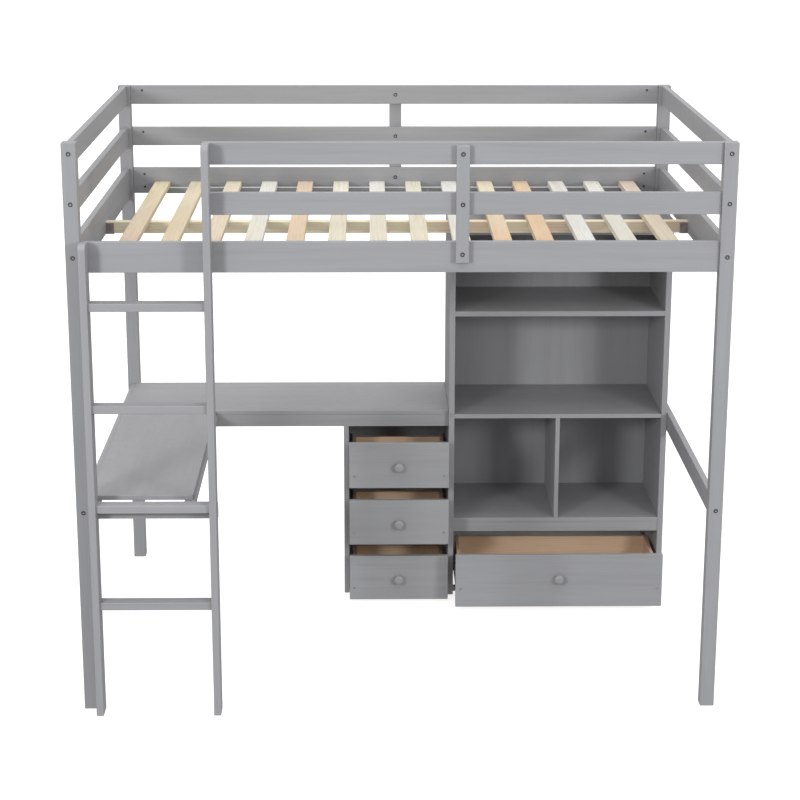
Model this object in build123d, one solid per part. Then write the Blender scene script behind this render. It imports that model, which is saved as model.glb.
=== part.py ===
from build123d import *
import math
import os

# A full-size loft bed with an L-shaped desk, a chest of three drawers, a bookcase with one wide
# drawer and a vertical ladder.  Millimetres.  +X runs right along the bed, +Y runs to the back and
# +Z up.  While the pieces are made, X is measured from the bed's middle, Y from the front face of
# the front posts and Z from the floor.  write() then moves each piece so that the origin is the
# middle of the whole footprint, on the floor.

# ---- driving dimensions: bed frame ----
BED_LENGTH = 2000
BED_WIDTH = 1450
BED_HEIGHT = 1800
POST = 44                     # square posts
RAIL_THICK = 20               # every rail runs down the middle of the posts
TOP_RAIL = (1733, 1800)       # heights of each level: underside, top
MIDDLE_RAIL = (1583, 1650)
SIDE_RAIL = (1408, 1502)
END_SIDE_RAIL = (1393, 1502)  # the ends are deeper than the long side rails
STRETCHER = (621, 688)
EASE = 2                      # rounding of the edges of posts and rails
PANEL_EASE = 1                # rounding of the edges of panels and small strips

# ---- mattress base ----
CLEAT = (1413, 1433)
CLEAT_WIDE = 36
CLEAT_HALF_LENGTH = 880
SLAT_COUNT = 14
SLAT_PITCH = 130.5
SLAT_WIDTH = 55
SLAT_THICK = 18
SLAT_END_GAP = 2              # between a slat's end and the side rail
BEAM = 38                     # the centre beam is square
BRACKET_WIDTH = 33
BRACKET_STEEL = 2
BRACKET_LET_IN = 7            # how far a bracket is let into the end rail
BRACKET_DROP = 3              # from the top of the beam down to the top of its bracket
RIBBON_WIDTH = 18
RIBBON_THICK = 0.6
RIBBON_SETBACK = 1            # from the inner edge of a cleat to the ribbon that lies on it

# ---- guard rail supports ----
SUPPORT = (1440, 1792)
FRONT_SUPPORT_X = (164, 204)
BACK_SUPPORT_X = (-20, 24)

# ---- ladder ----
STILE_THICK = 22
STILE_FRONT = -57
LEFT_STILE_X = -955           # left face of each stile
RIGHT_STILE_X = -586
LEFT_STILE_TOP = 1506
STILE_ROUND = 18
RUNG_DEPTH = (-46, -1)
RUNG_THICK = 25
RUNG_COUNT = 4
FIRST_RUNG_TOP = 375.5
RUNG_PITCH = 316.8
RUNG_HOUSING = 8              # how far a rung's end goes into a stile

# ---- desk ----
DESK_TOP = 693
DESK_THICK = 15
DESK_FRONT = 1012
RETURN_FRONT = 54
RETURN_RIGHT = -644
APRON_DEEP = 43
BATTEN_WIDE = 34
BATTEN_DEEP = 20
BATTEN_PROUD = 8              # the right batten stands out beyond the return's edge
CROSSBAR = (631, 678)

# ---- chest and bookcase ----
CABINET_BACK = 1400
BACK_PANEL_THICK = 5
CHEST_LEFT = -187
CHEST_PANEL = 18
BOOKCASE_LEFT = 188
BOOKCASE_RIGHT = 967
BOOKCASE_FRONT = 990
BOOKCASE_PANEL = 20
BOOKCASE_TOP = 1384
THIN_SHELF = 15
UPPER_SHELF = (1042, 1060)
MIDDLE_SHELF_TOP = 684
CUBBY_FLOOR_TOP = 295
FRONT_RAIL_DEEP = 37          # rails under the bookcase's top and under the cubby floor
FRONT_RAIL_THICK = 15
DIVIDER_X = (570, 585)
SHELF_SETBACK = 1
PANEL_JOINT = 0.8             # open joint between the two parts of a bookcase side
FRONT_RAIL_SETBACK = 2        # of the front rails behind the shelf above them
CROSS_RAIL_SETBACK = 2
CROSS_RAIL_HIGH = 30
BOTTOM_RAIL = (6, 24)

# ---- drawers ----
FRONT_THICK = 18
FRONT_GAP = 1.5               # beside each drawer front
SMALL_FRONT_HIGH = 166
SMALL_FRONT_BOTTOMS = {"top": 443, "middle": 233, "bottom": 11}
SMALL_FRONT_FACES = {"top": 885, "middle": 880, "bottom": 915}
SMALL_BOX_DEPTH = 300
SMALL_BOX_DROP = 68           # from the top of the front down to the top of the box
WIDE_FRONT = (20, 215)
WIDE_FRONT_FACE = 815
WIDE_BOX_DEPTH = 340
WIDE_BOX_DROP = 51
BOX_RISE = 16                 # from the bottom of the front up to the bottom of the box
BOX_THICK = 12
BOX_BOTTOM_THICK = 4
BOX_BOTTOM_RISE = 8
BOX_GROOVE = 5
SLIDE_GAP = 13                # between a drawer box and the cabinet side
SLIDE_STEEL = 1.2
CABINET_SLIDE_HIGH = 35
DRAWER_SLIDE_HIGH = 26
SLIDE_REACH = 11
SLIDE_SETBACK = 12
KNOB_RADIUS = 17
KNOB_REACH = 26
KNOB_FOOT = 0.6               # radius of the neck at the drawer front, as a share of the knob's
KNOB_WAIST = (0.42, 0.3)      # narrowest place: shares of the radius and of the reach
KNOB_RIM = 0.66               # where the knob is widest, as a share of the reach
SMALL_KNOB_RISE = -3          # from the middle of the drawer front
WIDE_KNOB_RISE = 10

# ---- fasteners ----
BOLT_RADIUS = 3
BOLT_HEAD_RADIUS = 6.2
BOLT_SEAT_RADIUS = 7.2        # the counterbore round the head
BOLT_SEAT_DEEP = 3
BOLT_HEAD_HIGH = 3
BOLT_PROUD = 1
BOLT_SOCKET = 3.2             # from the middle of the hexagon socket to its points
BOLT_SOCKET_DEEP = 2.2
NUT_INSET = 42                # from a post's inner face to the barrel nut in the rail
NUT_RADIUS = 4.5
NUT_LENGTH = 16
NUT_SUNK = 0.5
BOLT_LENGTH = POST + NUT_INSET + 8
SUPPORT_BOLT_LENGTH = 34
SINGLE_BOLT_RISE = 16         # guard rail bolts sit this far above the middle of the rail
PAIR_BOLT_RISE = 23.5         # side rail bolts sit this far above and below the middle
LOW_SUPPORT_BOLT_RISE = 11    # the supports' lowest bolts, above the middle of the side rail
SCREW_RADIUS = 2
SCREW_HEAD_RADIUS = 4.6
SCREW_HEAD_DEEP = 3
SCREW_LENGTH = 45             # through a cleat or a panel into the piece behind it
DRAWER_SCREW_LENGTH = 30
SCREW_SUNK = 0.9              # below the surface of the wood
CROSS_SLOT = (0.9, 4.6, 1.4)  # width, length and depth of each slot in a screw's head
FRONT_SCREW_RISE = 44
WIDE_FRONT_SCREW_RISE = 67
STILE_SCREW_RISE = 10         # above and below the middle of the side rail
SHELF_SCREW_Y = (1060, 1340)
CLEAT_SCREW_COUNT = 8
CLEAT_SCREW_PITCH = 238

# ---- places worked out from the driving dimensions ----
END_X = BED_LENGTH / 2
POST_INNER_X = END_X - POST
POST_MIDDLE_X = END_X - POST / 2
END_RAIL_X = (POST_MIDDLE_X - RAIL_THICK / 2, POST_MIDDLE_X + RAIL_THICK / 2)
FRONT_RAIL_Y = (POST / 2 - RAIL_THICK / 2, POST / 2 + RAIL_THICK / 2)
BACK_RAIL_Y = (BED_WIDTH - FRONT_RAIL_Y[1], BED_WIDTH - FRONT_RAIL_Y[0])
BACK_POST_FRONT = BED_WIDTH - POST
SUPPORT_BACK = BACK_RAIL_Y[1] + RAIL_THICK
FOOTPRINT_MIDDLE_Y = (STILE_FRONT + SUPPORT_BACK) / 2
SLAT_UNDER = CLEAT[1] + RIBBON_THICK
SLAT_TOP = SLAT_UNDER + SLAT_THICK
BEAM_Y = (BED_WIDTH / 2 - BEAM / 2, BED_WIDTH / 2 + BEAM / 2)
BRACKET_WALL_X = END_RAIL_X[0] + BRACKET_LET_IN
DESK_UNDER = DESK_TOP - DESK_THICK
DESK_LEFT = -END_RAIL_X[0]
APRON_UNDER = DESK_UNDER - APRON_DEEP
SHELF_X = (BOOKCASE_LEFT + BOOKCASE_PANEL, BOOKCASE_RIGHT - BOOKCASE_PANEL)
SHELF_FRONT = BOOKCASE_FRONT + SHELF_SETBACK
MIDDLE_SHELF = (MIDDLE_SHELF_TOP - THIN_SHELF, MIDDLE_SHELF_TOP)
CUBBY_FLOOR = (CUBBY_FLOOR_TOP - THIN_SHELF, CUBBY_FLOOR_TOP)
TOP_RAIL_SCREW_Y = SHELF_FRONT + FRONT_RAIL_SETBACK + FRONT_RAIL_THICK / 2
CHEST_INNER_X = (CHEST_LEFT + CHEST_PANEL, BOOKCASE_LEFT)


def middle(pair):
    """The middle of a (low, high) range."""
    return (pair[0] + pair[1]) / 2


def block(x, y, z):
    """A plain block that fills three (low, high) ranges."""
    size = [high - low for low, high in (x, y, z)]
    return Pos(middle(x), middle(y), middle(z)) * Box(*size)


def board(x, y, z, ease=EASE):
    """A board with every edge rounded over a little."""
    plain = block(x, y, z)
    return fillet(plain.edges(), ease)


def rod(start, way, length, radius):
    """A round bar that starts at a point and runs along a direction."""
    place = Plane(origin=start, z_dir=way)
    return place * Cylinder(radius, length, align=(Align.CENTER, Align.CENTER, Align.MIN))


def along(start, way, distance):
    """The point that lies a distance from start along a unit direction."""
    return tuple(start[i] + way[i] * distance for i in range(3))


# ---- fasteners ----

def bolt_blank(seat, way, length=BOLT_LENGTH):
    """A bolt with no socket: its head stands in the seat and a little proud of it."""
    head = rod(along(seat, way, -BOLT_PROUD), way, BOLT_HEAD_HIGH, BOLT_HEAD_RADIUS)
    shank = rod(seat, way, length, BOLT_RADIUS)
    return head + shank


def bolt_socket(seat, way):
    """The hexagon socket in a bolt's head."""
    place = Plane(origin=along(seat, way, -BOLT_PROUD), z_dir=way)
    return place * extrude(RegularPolygon(BOLT_SOCKET, 6), BOLT_SOCKET_DEEP)


def bolt_bore(seat, way, length=BOLT_LENGTH):
    """The hole for a bolt, with a counterbore a little wider than its head."""
    wide = rod(along(seat, way, -BOLT_PROUD), way, BOLT_PROUD + BOLT_SEAT_DEEP, BOLT_SEAT_RADIUS)
    return wide + rod(seat, way, length, BOLT_RADIUS)


def barrel_nut(face_point, way, bolt):
    """A cross dowel sunk just below a rail's face, with the bolt's hole through it."""
    return rod(along(face_point, way, NUT_SUNK), way, NUT_LENGTH, NUT_RADIUS) - bolt


def nut_bore(face_point, way):
    """The hole for a barrel nut, open at the rail's face."""
    return rod(along(face_point, way, -NUT_SUNK), way, NUT_LENGTH + 2 * NUT_SUNK, NUT_RADIUS)


def screw(seat, way, length=SCREW_LENGTH):
    """A countersunk wood screw with a cross slot, its head sunk just below the surface."""
    start = along(seat, way, SCREW_SUNK)
    place = Plane(origin=start, z_dir=way)
    low = (Align.CENTER, Align.CENTER, Align.MIN)
    head = place * Cone(SCREW_HEAD_RADIUS, SCREW_RADIUS, SCREW_HEAD_DEEP, align=low)
    whole = head + rod(start, way, length, SCREW_RADIUS)
    width, span, depth = CROSS_SLOT
    return whole - place * Box(width, span, 2 * depth) - place * Box(span, width, 2 * depth)


def screw_bore(seat, way, length=SCREW_LENGTH):
    """The countersunk hole for a screw."""
    place = Plane(origin=along(seat, way, SCREW_SUNK), z_dir=way)
    low = (Align.CENTER, Align.CENTER, Align.MIN)
    sink = place * Cone(SCREW_HEAD_RADIUS, SCREW_RADIUS, SCREW_HEAD_DEEP, align=low)
    mouth = rod(along(seat, way, -SCREW_SUNK), way, 2 * SCREW_SUNK, SCREW_HEAD_RADIUS)
    return mouth + sink + rod(seat, way, length + SCREW_SUNK, SCREW_RADIUS)


def frame_fasteners():
    """Bolts and barrel nuts of the bed frame, and the bores that they sit in."""
    bolts, nuts, bores = [], [], []

    def add_pair(seat, way, nut_face, nut_way):
        blank = bolt_blank(seat, way)
        bolts.append(blank - bolt_socket(seat, way))
        nuts.append(barrel_nut(nut_face, nut_way, blank))
        bores.extend((bolt_bore(seat, way), nut_bore(nut_face, nut_way)))

    nut_y = POST + NUT_INSET
    nut_x = POST_INNER_X - NUT_INSET
    end_levels = [middle(level) for level in (TOP_RAIL, MIDDLE_RAIL, SIDE_RAIL, STRETCHER)]
    guard_levels = [middle(level) + SINGLE_BOLT_RISE for level in (TOP_RAIL, MIDDLE_RAIL)]
    side_levels = [middle(SIDE_RAIL) - PAIR_BOLT_RISE, middle(SIDE_RAIL) + PAIR_BOLT_RISE]
    for side in (-1, 1):
        for z in end_levels:
            outer_face = side * END_RAIL_X[1]
            add_pair((side * POST_MIDDLE_X, 0, z), (0, 1, 0), (outer_face, nut_y, z), (-side, 0, 0))
            add_pair((side * POST_MIDDLE_X, BED_WIDTH, z), (0, -1, 0),
                     (outer_face, BED_WIDTH - nut_y, z), (-side, 0, 0))
        for z in side_levels + guard_levels:
            add_pair((side * END_X, BED_WIDTH - POST / 2, z), (-side, 0, 0),
                     (side * nut_x, BACK_RAIL_Y[0], z), (0, 1, 0))
        # The left end of the front guard rails is screwed to the ladder, not bolted to the post.
        for z in side_levels + (guard_levels if side > 0 else []):
            add_pair((side * END_X, POST / 2, z), (-side, 0, 0),
                     (side * nut_x, FRONT_RAIL_Y[1], z), (0, -1, 0))
    support_levels = [middle(TOP_RAIL), middle(MIDDLE_RAIL), middle(SIDE_RAIL) + LOW_SUPPORT_BOLT_RISE]
    support_faces = ((middle(FRONT_SUPPORT_X), FRONT_RAIL_Y[0] - RAIL_THICK),
                     (middle(BACK_SUPPORT_X), BACK_RAIL_Y[0]))
    for x, y in support_faces:
        for z in support_levels:
            seat, way = (x, y, z), (0, 1, 0)
            bolts.append(bolt_blank(seat, way, SUPPORT_BOLT_LENGTH) - bolt_socket(seat, way))
            bores.append(bolt_bore(seat, way, SUPPORT_BOLT_LENGTH))
    return bolts, nuts, bores


def cross_rail_heights():
    """(low, high) of the chest's rails between the drawers, and of its bottom rail."""
    ranges = [BOTTOM_RAIL]
    for upper, lower in (("top", "middle"), ("middle", "bottom")):
        low_gap = SMALL_FRONT_BOTTOMS[lower] + SMALL_FRONT_HIGH
        gap_middle = (low_gap + SMALL_FRONT_BOTTOMS[upper]) / 2
        ranges.append((gap_middle - CROSS_RAIL_HIGH / 2, gap_middle + CROSS_RAIL_HIGH / 2))
    return ranges


def cross_rail_y(heights):
    """Front-to-back range of a chest rail: the bottom rail stands behind the lowest drawer front."""
    front = DESK_FRONT + CROSS_RAIL_SETBACK + (RAIL_THICK if heights == BOTTOM_RAIL else 0)
    return (front, front + RAIL_THICK)


def cabinet_screw_places():
    """(seat, way) of every screw of the base, ladder, desk, chest and bookcase."""
    places = []
    first_x = -(CLEAT_SCREW_COUNT - 1) / 2 * CLEAT_SCREW_PITCH
    for i in range(CLEAT_SCREW_COUNT):
        x = first_x + i * CLEAT_SCREW_PITCH
        places.append(((x, FRONT_RAIL_Y[1] + CLEAT_WIDE, middle(CLEAT)), (0, -1, 0)))
        places.append(((x, BACK_RAIL_Y[0] - CLEAT_WIDE, middle(CLEAT)), (0, 1, 0)))
    left_x, right_x = LEFT_STILE_X + STILE_THICK / 2, RIGHT_STILE_X + STILE_THICK / 2
    side_z = (middle(SIDE_RAIL) - STILE_SCREW_RISE, middle(SIDE_RAIL) + STILE_SCREW_RISE)
    stile_places = [(x, z) for x in (left_x, right_x) for z in side_z + (middle(CROSSBAR),)]
    stile_places += [(right_x, middle(level)) for level in (MIDDLE_RAIL, TOP_RAIL)]
    for x, z in stile_places:
        places.append(((x, FRONT_RAIL_Y[1], z), (0, -1, 0)))
    for heights in cross_rail_heights():
        places.append(((CHEST_LEFT, middle(cross_rail_y(heights)), middle(heights)), (1, 0, 0)))
    shelf_levels = [BOOKCASE_TOP - THIN_SHELF - FRONT_RAIL_DEEP / 2, middle(UPPER_SHELF)]
    right_levels = shelf_levels + [middle(MIDDLE_SHELF), middle(CUBBY_FLOOR)]
    for z in right_levels:
        y_places = (TOP_RAIL_SCREW_Y,) if z == shelf_levels[0] else SHELF_SCREW_Y
        for y in y_places:
            places.append(((BOOKCASE_RIGHT, y, z), (-1, 0, 0)))
            if z in shelf_levels:
                places.append(((BOOKCASE_LEFT, y, z), (1, 0, 0)))
    for x in (BOOKCASE_LEFT + BOOKCASE_PANEL / 2, BOOKCASE_RIGHT - BOOKCASE_PANEL / 2):
        places.append(((x, BOOKCASE_FRONT, MIDDLE_SHELF_TOP - THIN_SHELF / 2), (0, 1, 0)))
    return places


# ---- bed frame ----

def posts():
    """Four square posts from the floor to the top rail."""
    ends = {"left": (-END_X, -POST_INNER_X), "right": (POST_INNER_X, END_X)}
    sides = {"front": (0, POST), "back": (BACK_POST_FRONT, BED_WIDTH)}
    return {f"post_{side}_{end}": [board(x, y, (0, BED_HEIGHT))]
            for side, y in sides.items() for end, x in ends.items()}


def long_rails():
    """Rails along the bed.  The front guard rails stop at the ladder and leave the way in open."""
    full = (-POST_INNER_X, POST_INNER_X)
    guarded = (RIGHT_STILE_X, POST_INNER_X)
    guards = (TOP_RAIL, MIDDLE_RAIL)
    return {
        "front_guard_rails": [board(guarded, FRONT_RAIL_Y, z) for z in guards],
        "front_side_rail": [board(full, FRONT_RAIL_Y, SIDE_RAIL)],
        "back_guard_rails": [board(full, BACK_RAIL_Y, z) for z in guards],
        "back_side_rail": [board(full, BACK_RAIL_Y, SIDE_RAIL)],
    }


def bracket_pocket(rail_x):
    """The shallow pocket in an end rail's inner face that takes the beam's bracket."""
    inner = min(rail_x, key=abs)
    deep = inner + math.copysign(BRACKET_LET_IN, inner)
    outer_y = (BEAM_Y[0] - BRACKET_STEEL, BEAM_Y[1] + BRACKET_STEEL)
    return block(sorted((inner - math.copysign(1, inner), deep)), outer_y,
                 (CLEAT[1] - BEAM - BRACKET_STEEL, CLEAT[1]))


def end_rails():
    """Rails across the two ends of the bed, and the low stretchers between the posts."""
    nodes = {}
    y = (POST, BACK_POST_FRONT)
    for end, x in (("left", (-END_RAIL_X[1], -END_RAIL_X[0])), ("right", END_RAIL_X)):
        nodes[f"{end}_end_guard_rails"] = [board(x, y, z) for z in (TOP_RAIL, MIDDLE_RAIL)]
        nodes[f"{end}_end_side_rail"] = [board(x, y, END_SIDE_RAIL) - bracket_pocket(x)]
        nodes[f"{end}_end_stretcher"] = [board(x, y, STRETCHER)]
    return nodes


def guard_supports():
    """Upright boards that tie the guard rails to the side rails, outside the rails."""
    front_y = (FRONT_RAIL_Y[0] - RAIL_THICK, FRONT_RAIL_Y[0])
    return {
        "front_guard_support": [board(FRONT_SUPPORT_X, front_y, SUPPORT)],
        "back_guard_support": [board(BACK_SUPPORT_X, (BACK_RAIL_Y[1], SUPPORT_BACK), SUPPORT)],
    }


def mattress_base():
    """Cleats on the side rails, a centre beam and the slats that lie on them."""
    cleat_x = (-CLEAT_HALF_LENGTH, CLEAT_HALF_LENGTH)
    cleat_ys = ((FRONT_RAIL_Y[1], FRONT_RAIL_Y[1] + CLEAT_WIDE),
                (BACK_RAIL_Y[0] - CLEAT_WIDE, BACK_RAIL_Y[0]))
    beam_x = (-BRACKET_WALL_X + BRACKET_STEEL, BRACKET_WALL_X - BRACKET_STEEL)
    slat_y = (FRONT_RAIL_Y[1] + SLAT_END_GAP, BACK_RAIL_Y[0] - SLAT_END_GAP)
    slats = []
    for i in range(SLAT_COUNT):
        x = (i - (SLAT_COUNT - 1) / 2) * SLAT_PITCH
        x_range = (x - SLAT_WIDTH / 2, x + SLAT_WIDTH / 2)
        slats.append(board(x_range, slat_y, (SLAT_UNDER, SLAT_TOP), PANEL_EASE))
    return {
        "slat_cleats": [board(cleat_x, y, CLEAT, PANEL_EASE) for y in cleat_ys],
        "centre_beam": [board(beam_x, BEAM_Y, (CLEAT[1] - BEAM, CLEAT[1]), PANEL_EASE)],
        "mattress_slats": slats,
    }


def beam_brackets():
    """Folded steel cradles that hold the ends of the centre beam to the end rails."""
    brackets = []
    under = CLEAT[1] - BEAM
    outer_y = (BEAM_Y[0] - BRACKET_STEEL, BEAM_Y[1] + BRACKET_STEEL)
    for side in (-1, 1):
        wall = BRACKET_WALL_X
        x = sorted((side * wall, side * (wall - BRACKET_WIDTH)))
        cradle = block(x, outer_y, (under - BRACKET_STEEL, CLEAT[1] - BRACKET_DROP))
        inside_x = sorted((side * (wall - BRACKET_STEEL), side * (wall - BRACKET_WIDTH - 1)))
        brackets.append(cradle - block(inside_x, BEAM_Y, (under, CLEAT[1])))
    return brackets


def slat_ribbons():
    """Two webbing ribbons between the slats and the cleats, which keep the slats' spacing."""
    half = (SLAT_COUNT - 1) / 2 * SLAT_PITCH + SLAT_WIDTH / 2
    edge = CLEAT_WIDE - RIBBON_SETBACK
    front_edge, back_edge = FRONT_RAIL_Y[1] + edge, BACK_RAIL_Y[0] - edge
    y_ranges = ((front_edge - RIBBON_WIDTH, front_edge), (back_edge, back_edge + RIBBON_WIDTH))
    return [block((-half, half), y, (CLEAT[1], SLAT_UNDER)) for y in y_ranges]


# ---- ladder ----

def rung(i):
    """One flat rung, its ends let into the two stiles."""
    x = (LEFT_STILE_X + STILE_THICK - RUNG_HOUSING, RIGHT_STILE_X + RUNG_HOUSING)
    top = FIRST_RUNG_TOP + i * RUNG_PITCH
    return board(x, RUNG_DEPTH, (top - RUNG_THICK, top))


def stile(left_face, top, rungs):
    """One upright of the ladder, rounded at its top, with a housing for each rung."""
    plain = block((left_face, left_face + STILE_THICK), (STILE_FRONT, FRONT_RAIL_Y[0]), (0, top))
    top_edges = plain.edges().filter_by(Axis.X).group_by(Axis.Z)[-1]
    rounded = fillet(top_edges, STILE_ROUND)
    eased = fillet(rounded.edges().filter_by(Axis.Z), EASE)
    for piece in rungs:
        eased = eased - piece
    return eased


def ladder():
    """Two stiles in front of the side rail.  The right one rises to the top guard rail."""
    rungs = [rung(i) for i in range(RUNG_COUNT)]
    return {
        "ladder_stile_left": [stile(LEFT_STILE_X, LEFT_STILE_TOP, rungs)],
        "ladder_stile_right": [stile(RIGHT_STILE_X, BED_HEIGHT, rungs)],
        "ladder_rungs": rungs,
    }


# ---- desk ----

def desk():
    """An L-shaped desk: a main top along the back and a return along the left end."""
    top_z = (DESK_UNDER, DESK_TOP)
    main_x = (DESK_LEFT, BOOKCASE_LEFT)
    batten_right = RETURN_RIGHT + BATTEN_PROUD
    apron_x = (batten_right - BATTEN_WIDE, BOOKCASE_LEFT)
    back_apron_x = (batten_right, CHEST_LEFT)
    apron_z = (APRON_UNDER, DESK_UNDER)
    back_apron_y = (CABINET_BACK - RAIL_THICK, CABINET_BACK)
    batten_z = (DESK_UNDER - BATTEN_DEEP, DESK_UNDER)
    battens = (((DESK_LEFT, DESK_LEFT + BATTEN_WIDE), (POST, CABINET_BACK)),
               ((apron_x[0], batten_right), (FRONT_RAIL_Y[1], CABINET_BACK)))
    apron = board(apron_x, (DESK_FRONT, DESK_FRONT + RAIL_THICK), apron_z, PANEL_EASE)
    batten_notch = block((apron_x[0] - 1, batten_right), (DESK_FRONT - 1, DESK_FRONT + RAIL_THICK + 1),
                         (batten_z[0], batten_z[1] + 1))
    crossbar_x = (-POST_INNER_X, RIGHT_STILE_X + STILE_THICK)
    return {
        "desk_top": [board(main_x, (DESK_FRONT, BACK_POST_FRONT), top_z)],
        "desk_return_top": [board((DESK_LEFT, RETURN_RIGHT), (RETURN_FRONT, DESK_FRONT), top_z)],
        "desk_aprons": [apron - batten_notch,
                        board(back_apron_x, back_apron_y, apron_z, PANEL_EASE)],
        "desk_battens": [board(x, y, batten_z, PANEL_EASE) for x, y in battens],
        "desk_crossbar": [board(crossbar_x, FRONT_RAIL_Y, CROSSBAR)],
    }


# ---- chest and bookcase ----

def chest():
    """The left side of the drawer chest and its cross rails.  The bookcase is its right side."""
    side = board((CHEST_LEFT, CHEST_LEFT + CHEST_PANEL), (DESK_FRONT, CABINET_BACK), (0, DESK_UNDER))
    notch = block((CHEST_LEFT - 1, CHEST_LEFT + CHEST_PANEL + 1),
                  (DESK_FRONT - 1, DESK_FRONT + RAIL_THICK), (APRON_UNDER, DESK_UNDER + 1))
    rails = [board(CHEST_INNER_X, cross_rail_y(z), z, PANEL_EASE) for z in cross_rail_heights()]
    return {"chest_side_panel": [side - notch], "chest_cross_rails": rails}


def bookcase():
    """An open hutch over a cubby pair and a wide drawer, between two-part side panels."""
    y = (BOOKCASE_FRONT, CABINET_BACK)
    shelf_y = (SHELF_FRONT, CABINET_BACK)
    under_top = BOOKCASE_TOP - THIN_SHELF
    left_x = (BOOKCASE_LEFT, SHELF_X[0])
    right_x = (SHELF_X[1], BOOKCASE_RIGHT)
    parts_z = ((0, MIDDLE_SHELF_TOP - PANEL_JOINT), (MIDDLE_SHELF_TOP, under_top))
    rail_front = SHELF_FRONT + FRONT_RAIL_SETBACK
    rail_y = (rail_front, rail_front + FRONT_RAIL_THICK)
    rails_z = [(top - FRONT_RAIL_DEEP, top) for top in (under_top, CUBBY_FLOOR[0])]
    rails = [board(SHELF_X, rail_y, z, PANEL_EASE) for z in rails_z]
    bottom_y = (BOOKCASE_FRONT + RAIL_THICK, BOOKCASE_FRONT + 2 * RAIL_THICK)
    rails.append(board(SHELF_X, bottom_y, BOTTOM_RAIL, PANEL_EASE))
    divider_z = (CUBBY_FLOOR_TOP, MIDDLE_SHELF[0])
    return {
        "bookcase_left_panels": [board(left_x, y, z, PANEL_EASE) for z in parts_z],
        "bookcase_right_panels": [board(right_x, y, z, PANEL_EASE) for z in parts_z],
        "bookcase_top": [board((BOOKCASE_LEFT, BOOKCASE_RIGHT), y, (under_top, BOOKCASE_TOP),
                               PANEL_EASE)],
        "bookcase_front_rails": rails,
        "bookcase_upper_shelf": [board(SHELF_X, shelf_y, UPPER_SHELF, PANEL_EASE)],
        "bookcase_middle_shelf": [board(SHELF_X, shelf_y, MIDDLE_SHELF, PANEL_EASE)],
        "bookcase_cubby_floor": [board(SHELF_X, shelf_y, CUBBY_FLOOR, PANEL_EASE)],
        "bookcase_divider": [board(DIVIDER_X, shelf_y, divider_z, PANEL_EASE)],
    }


def back_panels():
    """Thin panels behind the chest and the bookcase."""
    y = (CABINET_BACK, CABINET_BACK + BACK_PANEL_THICK)
    return [block((CHEST_LEFT, BOOKCASE_LEFT), y, (0, DESK_UNDER)),
            block((BOOKCASE_LEFT, BOOKCASE_RIGHT), y, (0, BOOKCASE_TOP))]


# ---- drawers ----

def channel(wall_x, way, y, z_middle, height):
    """A folded steel channel whose web lies on a wall and whose lips point along way (+1 or -1)."""
    z = (z_middle - height / 2, z_middle + height / 2)
    whole = block(sorted((wall_x, wall_x + way * SLIDE_REACH)), y, z)
    hollow_x = sorted((wall_x + way * SLIDE_STEEL, wall_x + way * (SLIDE_REACH + 1)))
    return whole - block(hollow_x, y, (z[0] + SLIDE_STEEL, z[1] - SLIDE_STEEL))


def knob(place):
    """A turned wooden knob: a neck that swells into a domed head."""
    foot = (KNOB_RADIUS * KNOB_FOOT, 0)
    waist = (KNOB_RADIUS * KNOB_WAIST[0], KNOB_REACH * KNOB_WAIST[1])
    rim = (KNOB_RADIUS, KNOB_REACH * KNOB_RIM)
    crown = (0, KNOB_REACH)
    outline = [Line((0, 0), foot),
               Spline([foot, waist, rim], tangents=[(-0.5, 1), (0, 1)]),
               Spline([rim, crown], tangents=[(0, 1), (-1, 0)]),
               Line(crown, (0, 0))]
    turned = revolve(Plane.XZ * make_face(outline), Axis.Z)
    return Plane(origin=place, z_dir=(0, -1, 0)) * turned


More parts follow.
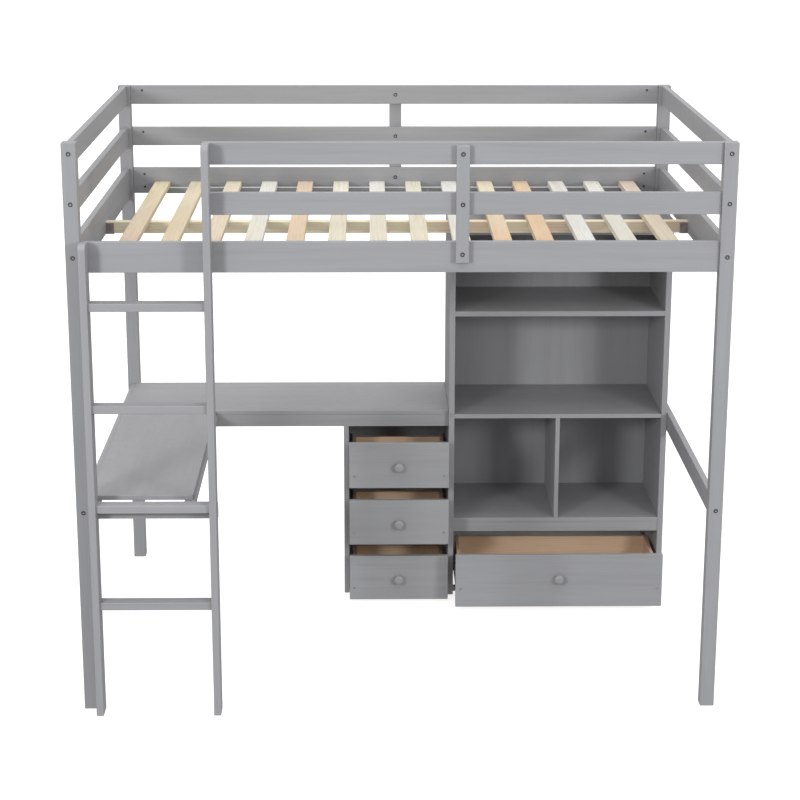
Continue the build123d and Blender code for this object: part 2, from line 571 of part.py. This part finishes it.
def drawer(inner_x, front_z, face_y, box_depth, box_drop, closed_face_y, screw_rise, knob_rise):
    """All pieces of one drawer between two cabinet walls, drawn out to face_y.

    Returns the front, the box boards, the knob, the steel on the drawer and the two channels
    that stay on the cabinet walls."""
    back_y = face_y + FRONT_THICK
    front = board((inner_x[0] + FRONT_GAP, inner_x[1] - FRONT_GAP), (face_y, back_y), front_z)
    outer_x = (inner_x[0] + SLIDE_GAP, inner_x[1] - SLIDE_GAP)
    box_z = (front_z[0] + BOX_RISE, front_z[1] - box_drop)
    box_y = (back_y, back_y + box_depth)
    inside_x = (outer_x[0] + BOX_THICK, outer_x[1] - BOX_THICK)
    inside_y = (box_y[0], box_y[1] - BOX_THICK)
    bottom_z = (box_z[0] + BOX_BOTTOM_RISE, box_z[0] + BOX_BOTTOM_RISE + BOX_BOTTOM_THICK)
    bottom = block((inside_x[0] - BOX_GROOVE, inside_x[1] + BOX_GROOVE),
                   (inside_y[0], inside_y[1] + BOX_GROOVE), bottom_z)
    boards = [board((outer_x[0], inside_x[0]), box_y, box_z, PANEL_EASE),
              board((inside_x[1], outer_x[1]), box_y, box_z, PANEL_EASE),
              board(inside_x, (inside_y[1], box_y[1]), box_z, PANEL_EASE)]
    screw_xs = (outer_x[0] + BOX_THICK / 2, outer_x[1] - BOX_THICK / 2)
    seats = [(x, face_y, front_z[0] + screw_rise) for x in screw_xs]
    screws = [screw(seat, (0, 1, 0), DRAWER_SCREW_LENGTH) for seat in seats]
    bores = [screw_bore(seat, (0, 1, 0), DRAWER_SCREW_LENGTH) for seat in seats]
    boards = [piece - bottom - bores[0] - bores[1] for piece in boards] + [bottom]
    front = front - bores[0] - bores[1]
    knob_place = (middle(inner_x), face_y, middle(front_z) + knob_rise)

    level = middle(box_z)
    moving_y = (back_y + SLIDE_SETBACK, back_y + SLIDE_SETBACK + box_depth - 2 * SLIDE_SETBACK)
    fixed_start = closed_face_y + FRONT_THICK + SLIDE_SETBACK
    fixed_y = (fixed_start, fixed_start + box_depth - 2 * SLIDE_SETBACK)
    steel = [channel(outer_x[0], -1, moving_y, level, DRAWER_SLIDE_HIGH),
             channel(outer_x[1], 1, moving_y, level, DRAWER_SLIDE_HIGH)] + screws
    fixed = [channel(inner_x[0], 1, fixed_y, level, CABINET_SLIDE_HIGH),
             channel(inner_x[1], -1, fixed_y, level, CABINET_SLIDE_HIGH)]
    return [front], boards, [knob(knob_place)], steel, fixed


def drawers():
    """The three chest drawers and the wide drawer, each partly open, and their fixed channels."""
    nodes, channels = {}, []
    specs = {}
    for name, bottom in SMALL_FRONT_BOTTOMS.items():
        specs[name] = (CHEST_INNER_X, (bottom, bottom + SMALL_FRONT_HIGH), SMALL_FRONT_FACES[name],
                       SMALL_BOX_DEPTH, SMALL_BOX_DROP, DESK_FRONT, FRONT_SCREW_RISE,
                       SMALL_KNOB_RISE)
    specs["wide"] = (SHELF_X, WIDE_FRONT, WIDE_FRONT_FACE, WIDE_BOX_DEPTH, WIDE_BOX_DROP,
                     BOOKCASE_FRONT, WIDE_FRONT_SCREW_RISE, WIDE_KNOB_RISE)
    for name, spec in specs.items():
        front, box, turned, steel, fixed = drawer(*spec)
        nodes[f"drawer_{name}_front"] = front
        nodes[f"drawer_{name}_box"] = box
        nodes[f"drawer_{name}_knob"] = turned
        nodes[f"drawer_{name}_hardware"] = steel
        channels += fixed
    return nodes, channels


# ---- assembly ----

def boxes_meet(a, b):
    """Whether two bounding boxes overlap."""
    return all(low < high for low, high in ((a.min.X, b.max.X), (b.min.X, a.max.X),
                                            (a.min.Y, b.max.Y), (b.min.Y, a.max.Y),
                                            (a.min.Z, b.max.Z), (b.min.Z, a.max.Z)))


def drilled(piece, boxed_bores):
    """A piece with every bore that passes through it."""
    box = piece.bounding_box()
    for bore, bore_box in boxed_bores:
        if boxes_meet(box, bore_box):
            piece = piece - bore
    return piece


def write(node, solids):
    """Write one node's solids to its STEP file, in the frame of the finished object."""
    pieces = [solid for shape in solids for solid in shape.solids()]
    placed = Pos(0, -FOOTPRINT_MIDDLE_Y, 0) * Compound(pieces)
    export_step(placed, f"parts/{node}.step")


def build():
    """Make and write every node."""
    os.makedirs("parts", exist_ok=True)
    bolts, nuts, bores = frame_fasteners()
    screw_places = cabinet_screw_places()
    bores += [screw_bore(seat, way) for seat, way in screw_places]
    boxed_bores = [(bore, bore.bounding_box()) for bore in bores]
    drawer_nodes, channels = drawers()
    wooden = {}
    for group in (posts(), long_rails(), end_rails(), guard_supports(), mattress_base(), ladder(),
                  desk(), chest(), bookcase()):
        wooden.update(group)
    for node, solids in wooden.items():
        write(node, [drilled(solid, boxed_bores) for solid in solids])
    for node, solids in drawer_nodes.items():
        write(node, solids)
    write("cabinet_back_panels", back_panels())
    write("cabinet_slides", channels)
    write("beam_brackets", beam_brackets())
    write("slat_ribbons", slat_ribbons())
    write("frame_bolts", bolts)
    write("barrel_nuts", nuts)
    write("panel_screws", [screw(seat, way) for seat, way in screw_places])


build()
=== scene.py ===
import math

import bpy
from mathutils import Matrix, Vector


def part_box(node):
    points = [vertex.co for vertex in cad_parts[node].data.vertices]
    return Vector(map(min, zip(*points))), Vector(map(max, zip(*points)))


# A loft bed with a desk, a chest of drawers and a bookcase.  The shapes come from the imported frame.
# This script gives each of them its finish, and sets the camera, the lights and the floor.
# Metres throughout.  +X runs right along the bed, -Y is its front and +Z is up.

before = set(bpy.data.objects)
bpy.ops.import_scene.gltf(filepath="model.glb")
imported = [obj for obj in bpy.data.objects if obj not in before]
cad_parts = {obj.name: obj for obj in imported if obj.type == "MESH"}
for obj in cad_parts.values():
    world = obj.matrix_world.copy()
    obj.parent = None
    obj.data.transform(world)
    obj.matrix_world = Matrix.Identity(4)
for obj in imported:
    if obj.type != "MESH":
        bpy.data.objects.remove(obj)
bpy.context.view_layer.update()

# ---- camera: a pinhole that looks slightly down on the front of the bed ----
CAMERA_PLACE = Vector((-0.0934, -6.6239, 2.6674))
CAMERA_YAW = 0.0155
CAMERA_PITCH = 0.2721
CAMERA_ROLL = 0.0017
FOCAL_LENGTH_MM = 90.88
SENSOR_WIDTH_MM = 36.0

# ---- light: two soft boxes left and right of the camera, under a bright ceiling ----
BOX_DISTANCE = 6.5
BOX_AIM = Vector((0.0, 0.0, 1.0))
LEFT_BOX = {"azimuth": -32, "elevation": 15, "size": 0.9, "watts": 143}
RIGHT_BOX = {"azimuth": 36, "elevation": 14, "size": 1.1, "watts": 120}
CEILING_LIGHT = 1.6
HORIZON_LIGHT = 0.34
GROUND_LIGHT = 0.5
WORLD_SCALE = 2.0             # a colour ramp holds levels up to 1, so the world's are stored halved
BACK_BIAS = 0.12              # how much more of the studio's light comes from behind the bed

# ---- floor ----
FLOOR_HALF = 60.0
FLOOR_GLOW = 0.77
FLOOR_COLOUR = (0.5, 0.5, 0.5, 1)

# ---- colours, as linear RGB ----
PAINT = (0.315, 0.318, 0.332)
PAINT_THIN = (0.40, 0.395, 0.39)
HONEY = (0.79, 0.63, 0.43)
PEACH = (0.80, 0.64, 0.50)
AMBER = (0.80, 0.56, 0.36)
STRAW = (0.80, 0.71, 0.49)
CREAM = (0.81, 0.74, 0.57)
IVORY = (0.81, 0.78, 0.67)
PALE = (0.82, 0.82, 0.78)
ROSE = (0.80, 0.66, 0.56)
FRONT_TONES = [PEACH, HONEY, PEACH, IVORY, HONEY, CREAM, CREAM, CREAM, PALE, AMBER, AMBER, PALE,
               IVORY, CREAM]
BACK_TONES = [STRAW, CREAM, CREAM, PALE, PEACH, IVORY, PALE, IVORY, PALE, CREAM, HONEY, PALE,
              PALE, ROSE]
BEAM_LIGHT = (0.90, 0.83, 0.62)
BEAM_DARK = (0.83, 0.68, 0.52)
DRAWER_LIGHT = (0.70, 0.52, 0.37)
DRAWER_DARK = (0.56, 0.40, 0.28)

# ---- patterns: a stretch shrinks the run along the grain, and a scale is in cells per metre ----
PAINT_STRETCH = 0.035
CLOUD_STRETCH = 0.3
STREAK_SCALE = 150.0
RING_SCALE = 38.0
FILM_SCALE = 700.0
PAINT_DRIFT = 0.06            # how far the paint's tone wanders to either side
PAINT_WEAR_RADIUS = 0.003
PAINT_WEAR_GAIN = 3.0
PAINT_ROUGHNESS = (0.38, 0.56)
FIBRE_STRETCH = 0.02
FIBRE_SCALE = 420.0
WOOD_ROUGHNESS = (0.62, 0.48)  # of early growth, of late growth
LATE_TINT = (0.92, 0.80, 0.64)  # share of the tone that is left in a ring's late growth
LATE_SHARE = 0.5
RING_WANDER = 0.022           # metres that a ring strays from a true circle
RING_PROFILE = [(0.0, 0.25), (0.12, 0.0), (0.55, 0.12), (0.88, 1.0), (0.97, 0.7), (1.0, 0.25)]
SLAT_RING = 0.0065            # metres from ring to ring
BEAM_RING = 0.006
DRAWER_RING = 0.007
SLAT_WIDTH = 0.055
TONE_MIXING = 0.9             # how raggedly a slat's front tone gives way to its back tone
# painted light and shade on the slats: darker at the front, lighter at the back to offset the shade that
# falls there
SLAT_PAINTED_LIGHT = [(0.0, 0.84), (0.55, 0.87), (1.0, 1.06)]
DRAWER_WALL = 0.012
STEEL_SCALE = 220.0
THREADS = 2200.0
SOCKET_REACH = 0.003          # metres of shade that tell a bolt's socket from its rim
AXES = {"X": 0, "Y": 1, "Z": 2}


# ---- small helpers for node trees ----

def add(tree, kind, sockets=None, **settings):
    """Adds a shader node.  sockets maps its inputs to plain values or to other nodes' outputs."""
    made = tree.nodes.new("ShaderNode" + kind)
    for name, value in settings.items():
        setattr(made, name, value)
    for key, value in (sockets or {}).items():
        if isinstance(value, bpy.types.NodeSocket):
            tree.links.new(value, made.inputs[key])
        else:
            made.inputs[key].default_value = value
    return made


def calc(tree, operation, a, b=0.0, c=0.0):
    """One step of arithmetic on values or outputs."""
    return add(tree, "Math", {0: a, 1: b, 2: c}, operation=operation).outputs[0]


def blend(tree, factor, a, b, mode="MIX"):
    """Mixes two colours."""
    colour_a = a if isinstance(a, bpy.types.NodeSocket) else (*a, 1)
    colour_b = b if isinstance(b, bpy.types.NodeSocket) else (*b, 1)
    made = add(tree, "Mix", {0: factor, 6: colour_a, 7: colour_b}, data_type="RGBA", blend_type=mode)
    return made.outputs[2]


def ramp(tree, factor, stops, interpolation="LINEAR"):
    """A colour ramp with (place, colour) stops."""
    made = add(tree, "ValToRGB", {0: factor})
    made.color_ramp.interpolation = interpolation
    points = made.color_ramp.elements
    while len(points) < len(stops):
        points.new(1.0)
    for point, (place, colour) in zip(points, stops):
        point.position = place
        point.color = (*colour, 1)
    return made.outputs[0]


def grey(value):
    """A neutral colour."""
    return (value, value, value)


def greys(stops):
    """Ramp stops whose colours are given as plain levels."""
    return [(place, grey(level)) for place, level in stops]


def spread(tree, source, low, high):
    """Maps 0..1 to low..high."""
    return add(tree, "MapRange", {0: source, 3: low, 4: high}).outputs[0]


def noise(tree, point, scale, detail=3.0, roughness=0.5):
    """Noise in 0..1."""
    sockets = {"Vector": point, "Scale": scale, "Detail": detail, "Roughness": roughness}
    return add(tree, "TexNoise", sockets).outputs[0]


def stretched(tree, point, grain, ratio):
    """The point with its run along the grain shrunk, so that patterns stretch out that way."""
    scale = [1.0, 1.0, 1.0]
    scale[AXES[grain]] = ratio
    return add(tree, "Mapping", {"Vector": point, "Scale": scale}).outputs[0]


def new_look(name):
    """A new material with its tree, its Principled shader and the point in the bed's frame."""
    material = bpy.data.materials.new(name)
    material.use_nodes = True
    tree = material.node_tree
    shader = tree.nodes["Principled BSDF"]
    point = add(tree, "TexCoord").outputs["Object"]
    return material, tree, shader, point


def worn_edges(tree, radius, gain):
    """0 on flat faces, up to 1 along rounded edges."""
    soft = add(tree, "Bevel", {"Radius": radius}, samples=4).outputs[0]
    true = add(tree, "NewGeometry").outputs["Normal"]
    match = add(tree, "VectorMath", {0: soft, 1: true}, operation="DOT_PRODUCT").outputs["Value"]
    bend = calc(tree, "SUBTRACT", 1.0, match)
    return add(tree, "Clamp", {0: calc(tree, "MULTIPLY", bend, gain)}).outputs[0]


def raise_surface(tree, shader, height, strength, distance):
    """Relief too fine for the mesh: distance is its depth in metres."""
    bump = add(tree, "Bump", {"Strength": strength, "Distance": distance, "Height": height})
    tree.links.new(bump.outputs[0], shader.inputs["Normal"])


# ---- paint ----

def grey_paint(name, grain):
    """Satin grey paint on pine: the grain shows through faintly and the edges are thin."""
    material, tree, shader, point = new_look(name)
    lengthwise = stretched(tree, point, grain, PAINT_STRETCH)
    streaks = noise(tree, lengthwise, STREAK_SCALE, 5.0, 0.6)
    clouds = noise(tree, stretched(tree, point, grain, CLOUD_STRETCH), 5.0, 2.0)
    rings = noise(tree, lengthwise, RING_SCALE, 2.0, 0.4)
    darker = [channel * (1 - PAINT_DRIFT) for channel in PAINT]
    lighter = [channel * (1 + PAINT_DRIFT) for channel in PAINT]
    base = blend(tree, clouds, darker, lighter)
    fibres = ramp(tree, streaks, greys([(0.3, 0.95), (0.5, 1.0), (0.72, 1.02)]))
    bands = ramp(tree, rings, greys([(0.35, 0.965), (0.5, 1.0), (0.7, 1.02)]))
    grained = blend(tree, 1.0, blend(tree, 1.0, base, fibres, "MULTIPLY"), bands, "MULTIPLY")
    worn = worn_edges(tree, PAINT_WEAR_RADIUS, PAINT_WEAR_GAIN)
    patchy = calc(tree, "MULTIPLY", worn, spread(tree, streaks, 0.2, 1.0))
    tree.links.new(blend(tree, patchy, grained, PAINT_THIN), shader.inputs["Base Color"])
    sheen = spread(tree, noise(tree, point, 30.0), *PAINT_ROUGHNESS)
    tree.links.new(sheen, shader.inputs["Roughness"])
    film = noise(tree, point, FILM_SCALE, 2.0)
    relief = calc(tree, "ADD", calc(tree, "MULTIPLY", film, 0.25), streaks)
    raise_surface(tree, shader, relief, 0.22, 0.0006)
    shader.inputs["Specular IOR Level"].default_value = 0.4
    return material


# ---- bare wood ----

def late_growth(tree, across, over, lengthwise, point, grain, ring, lean):
    """0 in the early growth of a ring, 1 in its dark late growth.

    across and over are the distances from the heart of the tree, and lean tilts the heart."""
    wander = noise(tree, stretched(tree, point, grain, 0.12), 9.0, 2.0)
    tilted = calc(tree, "ADD", across, calc(tree, "MULTIPLY", lengthwise, lean))
    across_squared = calc(tree, "MULTIPLY", tilted, tilted)
    over_squared = calc(tree, "MULTIPLY", over, over)
    radius = calc(tree, "SQRT", calc(tree, "ADD", across_squared, over_squared))
    strayed = calc(tree, "ADD", radius, calc(tree, "MULTIPLY", wander, RING_WANDER))
    phase = calc(tree, "FRACT", calc(tree, "DIVIDE", strayed, ring))
    return ramp(tree, phase, greys(RING_PROFILE))


def bare_wood(tree, shader, tone, late, point, grain):
    """Finishes planed pine from its tone and its rings: fibres, pores, roughness and relief."""
    fibres = noise(tree, stretched(tree, point, grain, FIBRE_STRETCH), FIBRE_SCALE, 4.0, 0.65)
    fleck = ramp(tree, fibres, greys([(0.3, 0.86), (0.5, 1.0), (0.75, 1.05)]))
    dark = blend(tree, 1.0, tone, LATE_TINT, "MULTIPLY")
    ringed = blend(tree, calc(tree, "MULTIPLY", late, LATE_SHARE), tone, dark)
    tree.links.new(blend(tree, 1.0, ringed, fleck, "MULTIPLY"), shader.inputs["Base Color"])
    tree.links.new(spread(tree, late, *WOOD_ROUGHNESS), shader.inputs["Roughness"])
    relief = calc(tree, "ADD", calc(tree, "MULTIPLY", late, 0.5), fibres)
    raise_surface(tree, shader, relief, 0.3, 0.0004)
    shader.inputs["Specular IOR Level"].default_value = 0.3


def slat_pine():
    """Fourteen bare slats, each cut from its own board and of its own tone from front to back."""
    material, tree, shader, point = new_look("slat_pine")
    low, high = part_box("mattress_slats")
    count = len(FRONT_TONES)
    pitch = (high.x - low.x - SLAT_WIDTH) / (count - 1)
    x, y, z = add(tree, "SeparateXYZ", {0: point}).outputs
    place = calc(tree, "DIVIDE", calc(tree, "SUBTRACT", x, low.x + SLAT_WIDTH / 2 - pitch / 2), pitch)
    index = calc(tree, "FLOOR", place)
    stops = [i / count for i in range(count)]
    pick = calc(tree, "DIVIDE", calc(tree, "ADD", index, 0.5), count)
    front = ramp(tree, pick, list(zip(stops, FRONT_TONES)), "CONSTANT")
    back = ramp(tree, pick, list(zip(stops, BACK_TONES)), "CONSTANT")
    chance = add(tree, "TexWhiteNoise", {"W": index}, noise_dimensions="1D")
    chances = add(tree, "SeparateColor", {0: chance.outputs["Color"]}).outputs
    drift = noise(tree, stretched(tree, point, "Y", 0.4), 7.0)
    share = add(tree, "MapRange", {0: y, 1: low.y, 2: high.y}).outputs[0]
    ragged = calc(tree, "MULTIPLY", calc(tree, "SUBTRACT", drift, 0.5), TONE_MIXING)
    share = calc(tree, "ADD", share, ragged)
    share = add(tree, "Clamp", {0: share}).outputs[0]
    tone = blend(tree, share, front, back)
    # painted shading: the slats darken towards the front and lighten towards the back
    tone = blend(tree, 1.0, tone, ramp(tree, share, greys(SLAT_PAINTED_LIGHT)), "MULTIPLY")
    centred = calc(tree, "MULTIPLY", calc(tree, "SUBTRACT", calc(tree, "FRACT", place), 0.5), pitch)
    across = calc(tree, "ADD", centred, spread(tree, chances[0], -0.05, 0.05))
    rise = calc(tree, "SUBTRACT", z, low.z)
    over = calc(tree, "ADD", rise, spread(tree, chances[1], 0.01, 0.06))
    shifted = add(tree, "VectorMath", {0: point, 1: chance.outputs["Color"]}).outputs[0]
    late = late_growth(tree, across, over, y, shifted, "Y", SLAT_RING, 0.02)
    bare_wood(tree, shader, tone, late, shifted, "Y")
    return material


def beam_pine():
    """The centre beam: one long board whose tone drifts along it."""
    material, tree, shader, point = new_look("beam_pine")
    low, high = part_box("centre_beam")
    x, y, z = add(tree, "SeparateXYZ", {0: point}).outputs
    drift = noise(tree, point, 3.2, 1.0)
    tone = ramp(tree, drift, [(0.35, BEAM_DARK), (0.5, BEAM_LIGHT), (0.68, CREAM)])
    across = calc(tree, "ADD", calc(tree, "SUBTRACT", z, low.z), 0.02)
    over = calc(tree, "ADD", calc(tree, "SUBTRACT", y, low.y), 0.05)
    late = late_growth(tree, across, over, x, point, "X", BEAM_RING, 0.01)
    bare_wood(tree, shader, tone, late, point, "X")
    return material


def drawer_pine(node):
    """A drawer's box: the two sides run front to back, the back and bottom run across."""
    material, tree, shader, point = new_look(node + "_pine")
    low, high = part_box(node)
    x, y, z = add(tree, "SeparateXYZ", {0: point}).outputs
    centre = (low.x + high.x) / 2
    reach = calc(tree, "ABSOLUTE", calc(tree, "SUBTRACT", x, centre))
    wall_face = (high.x - low.x) / 2 - DRAWER_WALL - 0.0005
    is_side = calc(tree, "GREATER_THAN", reach, wall_face)
    across = calc(tree, "SUBTRACT", z, low.z - 0.03)
    over_back = calc(tree, "SUBTRACT", y, low.y + 0.27)
    over_side = calc(tree, "ADD", reach, 0.05)
    late_back = late_growth(tree, across, over_back, x, point, "X", DRAWER_RING, 0.03)
    late_side = late_growth(tree, across, over_side, y, point, "Y", DRAWER_RING, 0.04)
    late = add(tree, "Mix", {0: is_side, 2: late_back, 3: late_side}).outputs[0]
    drift = noise(tree, point, 6.0, 2.0)
    tone = blend(tree, drift, DRAWER_DARK, DRAWER_LIGHT)
    bare_wood(tree, shader, tone, late, point, "X")
    return material


# ---- metal and webbing ----

def metal(name, light, dark, roughness):
    """Steel with fine scratches and a little grime."""
    material, tree, shader, point = new_look(name)
    scratches = noise(tree, stretched(tree, point, "Y", 0.15), STEEL_SCALE, 4.0)
    grime = noise(tree, point, 60.0, 3.0)
    mixed = calc(tree, "MULTIPLY", scratches, grime)
    colour = ramp(tree, mixed, [(0.1, dark), (0.32, light)])
    worn = worn_edges(tree, 0.0006, 4.0)
    polished = [min(1.0, channel * 1.8) for channel in light]
    tree.links.new(blend(tree, worn, colour, polished), shader.inputs["Base Color"])
    sheen = spread(tree, scratches, roughness - 0.08, roughness + 0.14)
    tree.links.new(sheen, shader.inputs["Roughness"])
    raise_surface(tree, shader, scratches, 0.2, 0.0002)
    shader.inputs["Metallic"].default_value = 0.9
    return material


def bolt_steel():
    """Blackened bolt heads, with a painted glint: the hollow of the hexagon socket is painted bright."""
    material, tree, shader, point = new_look("bolt_steel")
    open_air = add(tree, "AmbientOcclusion", {"Distance": SOCKET_REACH}, samples=8).outputs["AO"]
    scratches = noise(tree, point, 900.0, 3.0)
    black = blend(tree, scratches, (0.035, 0.035, 0.04), (0.13, 0.13, 0.14))
    # painted highlight: this bright colour stands in for the glint of light in each socket
    painted_glint = blend(tree, scratches, (0.55, 0.56, 0.58), (0.85, 0.86, 0.88))
    # the deep hollows found by ambient occlusion get the painted glint
    depth = ramp(tree, open_air, greys([(0.55, 1.0), (0.85, 0.0)]))
    tree.links.new(blend(tree, depth, black, painted_glint), shader.inputs["Base Color"])
    tree.links.new(spread(tree, scratches, 0.32, 0.5), shader.inputs["Roughness"])
    raise_surface(tree, shader, scratches, 0.2, 0.0002)
    shader.inputs["Metallic"].default_value = 0.6
    return material


def webbing():
    """White woven ribbon: fine warp and weft threads."""
    material, tree, shader, point = new_look("webbing")
    x, y, z = add(tree, "SeparateXYZ", {0: point}).outputs
    warp = calc(tree, "SINE", calc(tree, "MULTIPLY", x, THREADS))
    weft = calc(tree, "SINE", calc(tree, "MULTIPLY", y, THREADS))
    weave = spread(tree, calc(tree, "MULTIPLY", warp, weft), 0.0, 1.0)
    colour = ramp(tree, weave, [(0.0, (0.74, 0.74, 0.72)), (1.0, (0.93, 0.93, 0.92))])
    soil = noise(tree, point, 9.0, 3.0)
    soiled = blend(tree, calc(tree, "MULTIPLY", soil, 0.2), colour, (0.76, 0.74, 0.70))
    tree.links.new(soiled, shader.inputs["Base Color"])
    tree.links.new(spread(tree, weave, 0.95, 0.75), shader.inputs["Roughness"])
    raise_surface(tree, shader, weave, 0.4, 0.0002)
    return material


# ---- which node gets which look ----

def wear(material, nodes):
    """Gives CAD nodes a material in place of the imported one."""
    for name in nodes:
        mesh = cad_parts[name].data
        mesh.materials.clear()
        mesh.materials.append(material)


def dress():
    """Every CAD node gets its finish."""
    drawers = ("top", "middle", "bottom", "wide")
    ends = ("left", "right")
    wear(grey_paint("grey_paint_x", "X"), [
        "front_guard_rails", "front_side_rail", "back_guard_rails", "back_side_rail", "slat_cleats",
        "ladder_rungs", "desk_top", "desk_aprons", "desk_crossbar", "chest_cross_rails",
        "bookcase_top", "bookcase_front_rails", "bookcase_upper_shelf", "bookcase_middle_shelf",
        "bookcase_cubby_floor"] + [f"drawer_{name}_front" for name in drawers])
    wear(grey_paint("grey_paint_y", "Y"), [
        f"{end}_end_{part}" for end in ends for part in ("guard_rails", "side_rail", "stretcher")]
        + ["desk_return_top", "desk_battens"] + [f"drawer_{name}_knob" for name in drawers])
    wear(grey_paint("grey_paint_z", "Z"), [
        f"post_{side}_{end}" for side in ("front", "back") for end in ends]
        + [f"ladder_stile_{end}" for end in ends]
        + ["front_guard_support", "back_guard_support", "chest_side_panel", "bookcase_left_panels",
           "bookcase_right_panels", "bookcase_divider", "cabinet_back_panels"])
    wear(slat_pine(), ["mattress_slats"])
    wear(beam_pine(), ["centre_beam"])
    for name in drawers:
        wear(drawer_pine(f"drawer_{name}_box"), [f"drawer_{name}_box"])
    wear(bolt_steel(), ["frame_bolts"])
    wear(metal("dark_steel", (0.11, 0.09, 0.09), (0.03, 0.025, 0.03), 0.5), ["barrel_nuts"])
    wear(metal("bracket_steel", (0.46, 0.41, 0.41), (0.24, 0.21, 0.21), 0.5), ["beam_brackets"])
    wear(metal("zinc", (0.52, 0.53, 0.54), (0.33, 0.33, 0.35), 0.32),
         ["panel_screws", "cabinet_slides"] + [f"drawer_{name}_hardware" for name in drawers])
    wear(webbing(), ["slat_ribbons"])


# ---- stage ----

def make_camera():
    """The camera, from its yaw, pitch and roll."""
    forward = Vector((math.sin(CAMERA_YAW) * math.cos(CAMERA_PITCH),
                      math.cos(CAMERA_YAW) * math.cos(CAMERA_PITCH), -math.sin(CAMERA_PITCH)))
    level_right = Vector((math.cos(CAMERA_YAW), -math.sin(CAMERA_YAW), 0.0))
    level_up = level_right.cross(forward)
    right = level_right * math.cos(CAMERA_ROLL) + level_up * math.sin(CAMERA_ROLL)
    up = right.cross(forward)
    turned = Matrix((right, up, -forward)).transposed()
    data = bpy.data.cameras.new("camera")
    data.lens = FOCAL_LENGTH_MM
    data.sensor_width = SENSOR_WIDTH_MM
    camera = bpy.data.objects.new("camera", data)
    camera.matrix_world = Matrix.Translation(CAMERA_PLACE) @ turned.to_4x4()
    bpy.context.scene.collection.objects.link(camera)
    bpy.context.scene.camera = camera


def make_soft_box(name, azimuth, elevation, size, watts):
    """A square area light that faces the bed."""
    turn, rise = math.radians(azimuth), math.radians(elevation)
    way = Vector((math.sin(turn) * math.cos(rise), -math.cos(turn) * math.cos(rise), math.sin(rise)))
    data = bpy.data.lights.new(name, "AREA")
    data.size = size
    data.energy = watts
    light = bpy.data.objects.new(name, data)
    light.location = BOX_AIM + way * BOX_DISTANCE
    light.rotation_euler = (-way).to_track_quat("-Z", "Y").to_euler()
    bpy.context.scene.collection.objects.link(light)


def make_world():
    """A white studio: bright above, dimmer at the sides, plain white where the camera sees it."""
    world = bpy.data.worlds.new("studio")
    world.use_nodes = True
    tree = world.node_tree
    tree.nodes.clear()
    way = add(tree, "SeparateXYZ", {0: add(tree, "TexCoord").outputs["Generated"]})
    depth, height = way.outputs[1], way.outputs[2]
    level = add(tree, "MapRange", {0: height, 1: -1.0, 2: 1.0}).outputs[0]
    glow = ramp(tree, level, greys([(0.0, GROUND_LIGHT / WORLD_SCALE), (0.5, HORIZON_LIGHT / WORLD_SCALE),
                                    (1.0, CEILING_LIGHT / WORLD_SCALE)]))
    strength = calc(tree, "MULTIPLY_ADD", depth, WORLD_SCALE * BACK_BIAS, WORLD_SCALE)
    lit = add(tree, "Background", {0: glow, 1: strength})
    seen = add(tree, "Background", {0: (1, 1, 1, 1), 1: 1.0})
    is_camera = add(tree, "LightPath").outputs["Is Camera Ray"]
    mixed = add(tree, "MixShader", {0: is_camera, 1: lit.outputs[0], 2: seen.outputs[0]})
    tree.links.new(mixed.outputs[0], add(tree, "OutputWorld").inputs[0])
    bpy.context.scene.world = world


def make_floor():
    """A plain pale floor that glows a little, so that it stays nearly white under the bed."""
    mesh = bpy.data.meshes.new("floor")
    corners = [(x * FLOOR_HALF, y * FLOOR_HALF, 0) for x, y in ((-1, -1), (1, -1), (1, 1), (-1, 1))]
    mesh.from_pydata(corners, [], [(0, 1, 2, 3)])
    floor = bpy.data.objects.new("floor", mesh)
    bpy.context.scene.collection.objects.link(floor)
    material = bpy.data.materials.new("pale_floor")
    material.use_nodes = True
    shader = material.node_tree.nodes["Principled BSDF"]
    shader.inputs["Base Color"].default_value = FLOOR_COLOUR
    shader.inputs["Roughness"].default_value = 1.0
    shader.inputs["Specular IOR Level"].default_value = 0.0
    shader.inputs["Emission Color"].default_value = (1, 1, 1, 1)
    shader.inputs["Emission Strength"].default_value = FLOOR_GLOW
    mesh.materials.append(material)
    floor.visible_diffuse = False
    floor.visible_glossy = False


dress()
make_camera()
make_soft_box("left_box", **LEFT_BOX)
make_soft_box("right_box", **RIGHT_BOX)
make_world()
make_floor()
bpy.context.scene.view_settings.view_transform = "Standard"
